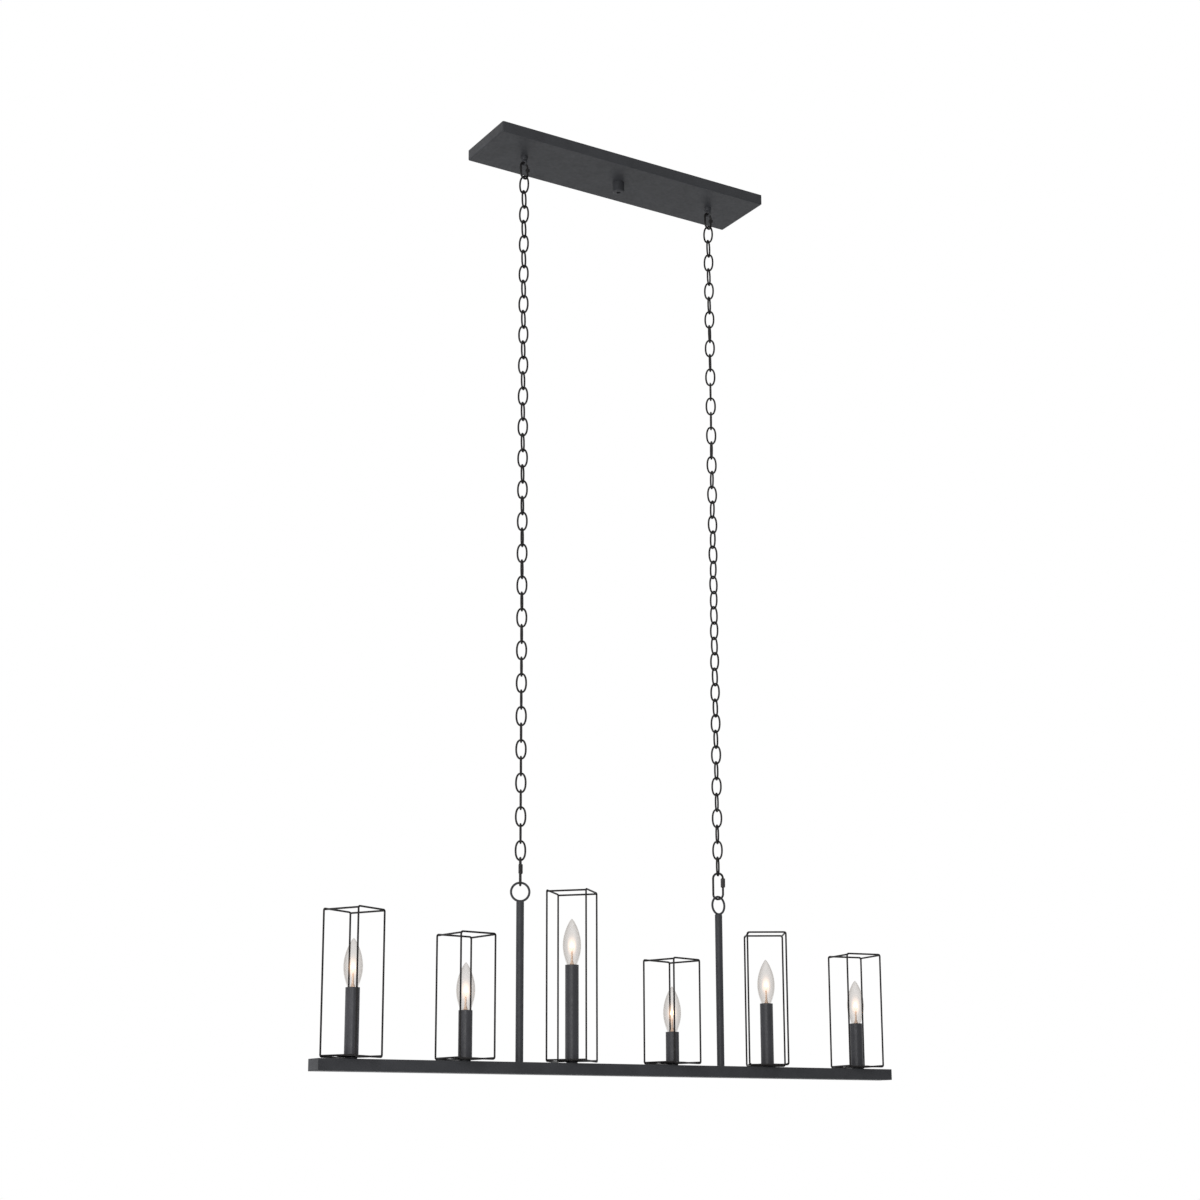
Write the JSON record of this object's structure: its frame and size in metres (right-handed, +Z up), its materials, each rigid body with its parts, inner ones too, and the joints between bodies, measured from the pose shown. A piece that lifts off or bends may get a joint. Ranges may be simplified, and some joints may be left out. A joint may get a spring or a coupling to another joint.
{
  "type": "linear island pendant",
  "caption": "Linear island pendant: a long ceiling canopy, two chains and a straight bar carrying candle lamps of mixed heights, each inside an open square wire cage.",
  "frame": {"origin": "centre of the mounting strap's seat and of the canopy's open rim, in the plane of the ceiling", "axes": "+Z up into the ceiling, +X along the bar, +Y across it"},
  "size_m": [1.178, 0.138, 1.7214],
  "materials": {
    "black_paint": "matte black powder coat",
    "black_chain": "matte black painted steel wire",
    "black_hardware": "satin black painted steel",
    "black_wire": "matte black painted steel wire",
    "sleeve_black": "satin black painted tube",
    "zinc_steel": "zinc-plated steel, hidden hardware",
    "socket_plastic": "black moulded lampholder",
    "bulb_base_metal": "bright screw shell",
    "bulb_glass": "clear blown glass",
    "filament": "clear glass mount and lit filament"
  },
  "bodies": {
    "canopy": {"canopy_pan": "black_paint", "mounting_strap": "zinc_steel", "ceiling_eyes": "black_paint", "eye_nuts": "zinc_steel", "cord_outlet": "black_paint", "outlet_nut": "zinc_steel"},
    "upper_link_left": {"quick_link_upper_left": "black_hardware"},
    "upper_nut_left": {"quick_nut_upper_left": "black_hardware"},
    "chain_left": {"chain_left": "black_chain"},
    "lower_link_left": {"quick_link_lower_left": "black_hardware"},
    "lower_nut_left": {"quick_nut_lower_left": "black_hardware"},
    "upper_link_right": {"quick_link_upper_right": "black_hardware"},
    "upper_nut_right": {"quick_nut_upper_right": "black_hardware"},
    "chain_right": {"chain_right": "black_chain"},
    "lower_link_right": {"quick_link_lower_right": "black_hardware"},
    "lower_nut_right": {"quick_nut_lower_right": "black_hardware"},
    "bar": {"bar_tube": "black_paint", "bar_ends": "black_paint", "stem_left": "black_paint", "stem_right": "black_paint", "lamp_nuts": "zinc_steel", "lamp_spacers": "black_paint", "nipples": "zinc_steel", "sockets": "socket_plastic", "drip_disc_1": "black_paint", "drip_disc_2": "black_paint", "drip_disc_3": "black_paint", "drip_disc_4": "black_paint", "drip_disc_5": "black_paint", "drip_disc_6": "black_paint", "sleeve_1": "sleeve_black", "sleeve_2": "sleeve_black", "sleeve_3": "sleeve_black", "sleeve_4": "sleeve_black", "sleeve_5": "sleeve_black", "sleeve_6": "sleeve_black"},
    "cage_1": {"cage_1": "black_wire"},
    "bulb_1": {"bulb_base_1": "bulb_base_metal", "bulb_glass_1": "bulb_glass", "filament_1": "filament"},
    "cage_2": {"cage_2": "black_wire"},
    "bulb_2": {"bulb_base_2": "bulb_base_metal", "bulb_glass_2": "bulb_glass", "filament_2": "filament"},
    "cage_3": {"cage_3": "black_wire"},
    "bulb_3": {"bulb_base_3": "bulb_base_metal", "bulb_glass_3": "bulb_glass", "filament_3": "filament"},
    "cage_4": {"cage_4": "black_wire"},
    "bulb_4": {"bulb_base_4": "bulb_base_metal", "bulb_glass_4": "bulb_glass", "filament_4": "filament"},
    "cage_5": {"cage_5": "black_wire"},
    "bulb_5": {"bulb_base_5": "bulb_base_metal", "bulb_glass_5": "bulb_glass", "filament_5": "filament"},
    "cage_6": {"cage_6": "black_wire"},
    "bulb_6": {"bulb_base_6": "bulb_base_metal", "bulb_glass_6": "bulb_glass", "filament_6": "filament"}
  },
  "joints": [
    {"name": "cross_swing_left", "type": "hinge", "parent": "canopy", "child": "upper_link_left", "pos_m": [-0.209, 0, -0.03485], "axis": [1, 0, 0], "range_deg": [-15, 15]},
    {"name": "upper_gate_left", "type": "slide", "parent": "upper_link_left", "child": "upper_nut_left", "axis": [0, 0, 1], "range_m": [-0.0055, 0]},
    {"name": "end_swing_left", "type": "hinge", "parent": "upper_link_left", "child": "chain_left", "pos_m": [-0.209, 0, -0.06218], "axis": [0, 1, 0], "range_deg": [-15, 15]},
    {"name": "end_level_left", "type": "hinge", "parent": "chain_left", "child": "lower_link_left", "pos_m": [-0.209, 0, -1.35193], "axis": [0, 1, 0], "range_deg": [-15, 15]},
    {"name": "lower_gate_left", "type": "slide", "parent": "lower_link_left", "child": "lower_nut_left", "axis": [0, 0, 1], "range_m": [-0.0055, 0]},
    {"name": "cross_swing_right", "type": "hinge", "parent": "canopy", "child": "upper_link_right", "pos_m": [0.209, 0, -0.03485], "axis": [1, 0, 0], "range_deg": [-15, 15]},
    {"name": "upper_gate_right", "type": "slide", "parent": "upper_link_right", "child": "upper_nut_right", "axis": [0, 0, 1], "range_m": [-0.0055, 0]},
    {"name": "end_swing_right", "type": "hinge", "parent": "upper_link_right", "child": "chain_right", "pos_m": [0.209, 0, -0.06218], "axis": [0, 1, 0], "range_deg": [-15, 15]},
    {"name": "end_level_right", "type": "hinge", "parent": "chain_right", "child": "lower_link_right", "pos_m": [0.209, 0, -1.35193], "axis": [0, 1, 0], "range_deg": [-15, 15]},
    {"name": "lower_gate_right", "type": "slide", "parent": "lower_link_right", "child": "lower_nut_right", "axis": [0, 0, 1], "range_m": [-0.0055, 0]},
    {"name": "bar_roll", "type": "hinge", "parent": "lower_link_left", "child": "bar", "pos_m": [-0.209, 0, -1.39575], "axis": [1, 0, 0], "range_deg": [-12, 12]},
    {"name": "cage_turn_1", "type": "hinge", "parent": "bar", "child": "cage_1", "pos_m": [-0.5225, 0, -1.69765], "axis": [0, 0, 1], "continuous": true},
    {"name": "bulb_turn_1", "type": "hinge", "parent": "bar", "child": "bulb_1", "pos_m": [-0.5225, 0, -1.5954], "axis": [0, 0, 1], "continuous": true},
    {"name": "cage_turn_2", "type": "hinge", "parent": "bar", "child": "cage_2", "pos_m": [-0.3135, 0, -1.69765], "axis": [0, 0, 1], "continuous": true},
    {"name": "bulb_turn_2", "type": "hinge", "parent": "bar", "child": "bulb_2", "pos_m": [-0.3135, 0, -1.6264], "axis": [0, 0, 1], "continuous": true},
    {"name": "cage_turn_3", "type": "hinge", "parent": "bar", "child": "cage_3", "pos_m": [-0.1045, 0, -1.69765], "axis": [0, 0, 1], "continuous": true},
    {"name": "bulb_turn_3", "type": "hinge", "parent": "bar", "child": "bulb_3", "pos_m": [-0.1045, 0, -1.5414], "axis": [0, 0, 1], "continuous": true},
    {"name": "cage_turn_4", "type": "hinge", "parent": "bar", "child": "cage_4", "pos_m": [0.1045, 0, -1.69765], "axis": [0, 0, 1], "continuous": true},
    {"name": "bulb_turn_4", "type": "hinge", "parent": "bar", "child": "bulb_4", "pos_m": [0.1045, 0, -1.6524], "axis": [0, 0, 1], "continuous": true},
    {"name": "cage_turn_5", "type": "hinge", "parent": "bar", "child": "cage_5", "pos_m": [0.3135, 0, -1.69765], "axis": [0, 0, 1], "continuous": true},
    {"name": "bulb_turn_5", "type": "hinge", "parent": "bar", "child": "bulb_5", "pos_m": [0.3135, 0, -1.5954], "axis": [0, 0, 1], "continuous": true},
    {"name": "cage_turn_6", "type": "hinge", "parent": "bar", "child": "cage_6", "pos_m": [0.5225, 0, -1.69765], "axis": [0, 0, 1], "continuous": true},
    {"name": "bulb_turn_6", "type": "hinge", "parent": "bar", "child": "bulb_6", "pos_m": [0.5225, 0, -1.6264], "axis": [0, 0, 1], "continuous": true}
  ],
  "couplings": [
    {"joint": "cross_swing_right", "follows": "cross_swing_left", "ratio": 1},
    {"joint": "end_swing_right", "follows": "end_swing_left", "ratio": 1},
    {"joint": "end_level_left", "follows": "end_swing_left", "ratio": -1},
    {"joint": "end_level_right", "follows": "end_swing_left", "ratio": -1}
  ]
}
